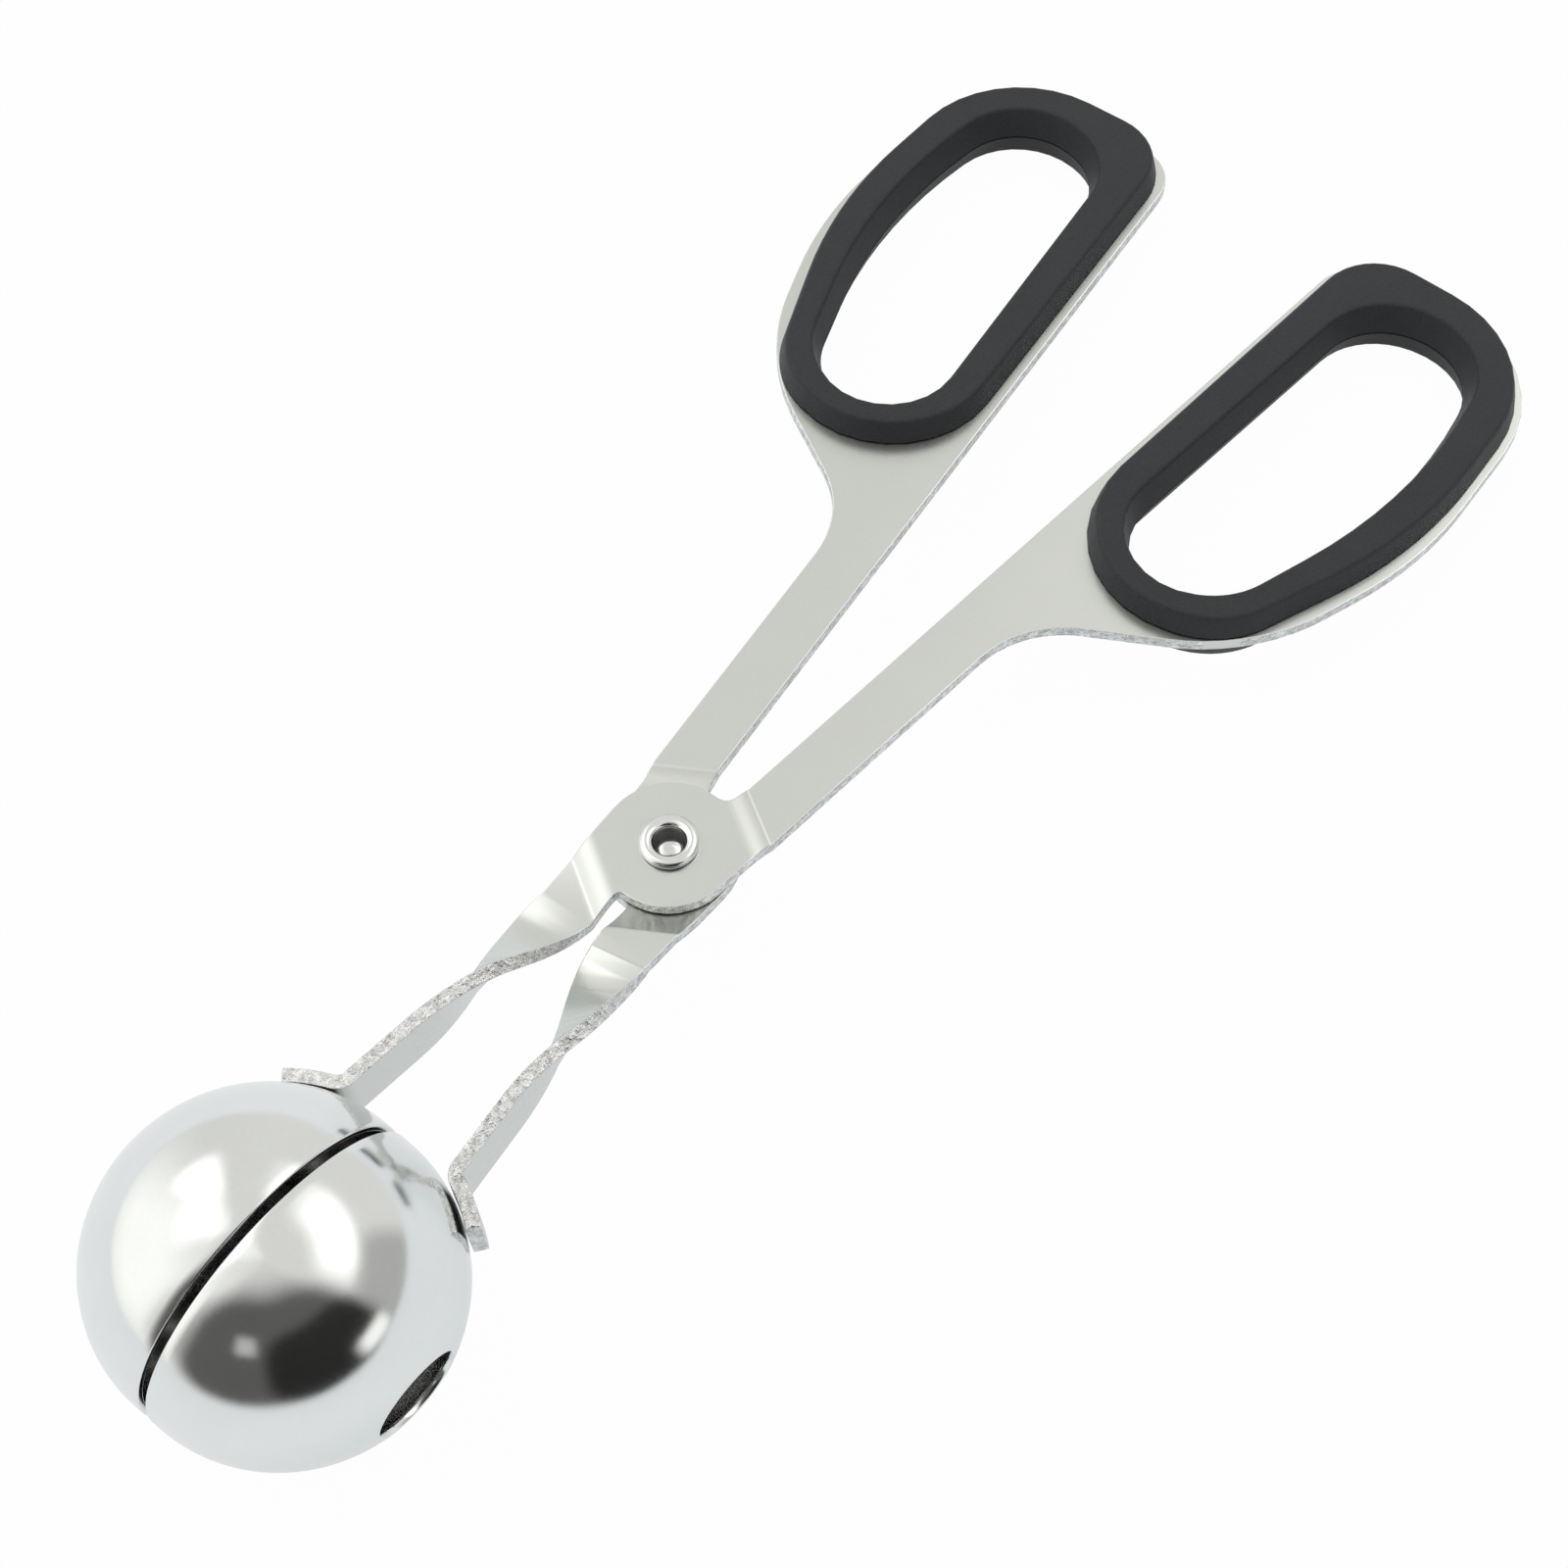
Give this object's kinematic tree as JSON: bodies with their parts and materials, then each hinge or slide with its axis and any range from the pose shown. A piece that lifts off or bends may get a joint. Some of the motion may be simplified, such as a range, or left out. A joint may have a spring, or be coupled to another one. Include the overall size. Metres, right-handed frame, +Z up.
{
  "type": "meatball scoop",
  "caption": "Scissor-action kitchen scoop: crossed sheet-steel arms on a hollow rivet, half-ball cups that close to a ball, and dark finger grips in the handle loops.",
  "frame": {"origin": "bottom centre of the box around the tool as it lies on a table with the ball closed", "axes": "+X from the ball to the handles, +Y to the handle of the lower arm, +Z up"},
  "size_m": [0.2428, 0.1088, 0.0443],
  "materials": {
    "steel": "satin with bright sheared edges",
    "polished": "mirror polished",
    "grip": "matt with fine grain"
  },
  "bodies": {
    "upper_half": {"arm_upper": "steel", "cup_upper": "polished", "grip_upper_top": "grip", "grip_upper_bottom": "grip", "rivet": "polished"},
    "lower_half": {"arm_lower": "steel", "cup_lower": "polished", "grip_lower_top": "grip", "grip_lower_bottom": "grip"}
  },
  "joints": [
    {"name": "pivot", "type": "hinge", "parent": "upper_half", "child": "lower_half", "pos_m": [-0.02527, 0, 0.01609], "axis": [0.0815, 0, 0.9967], "range_deg": [-0.6, 60]}
  ]
}
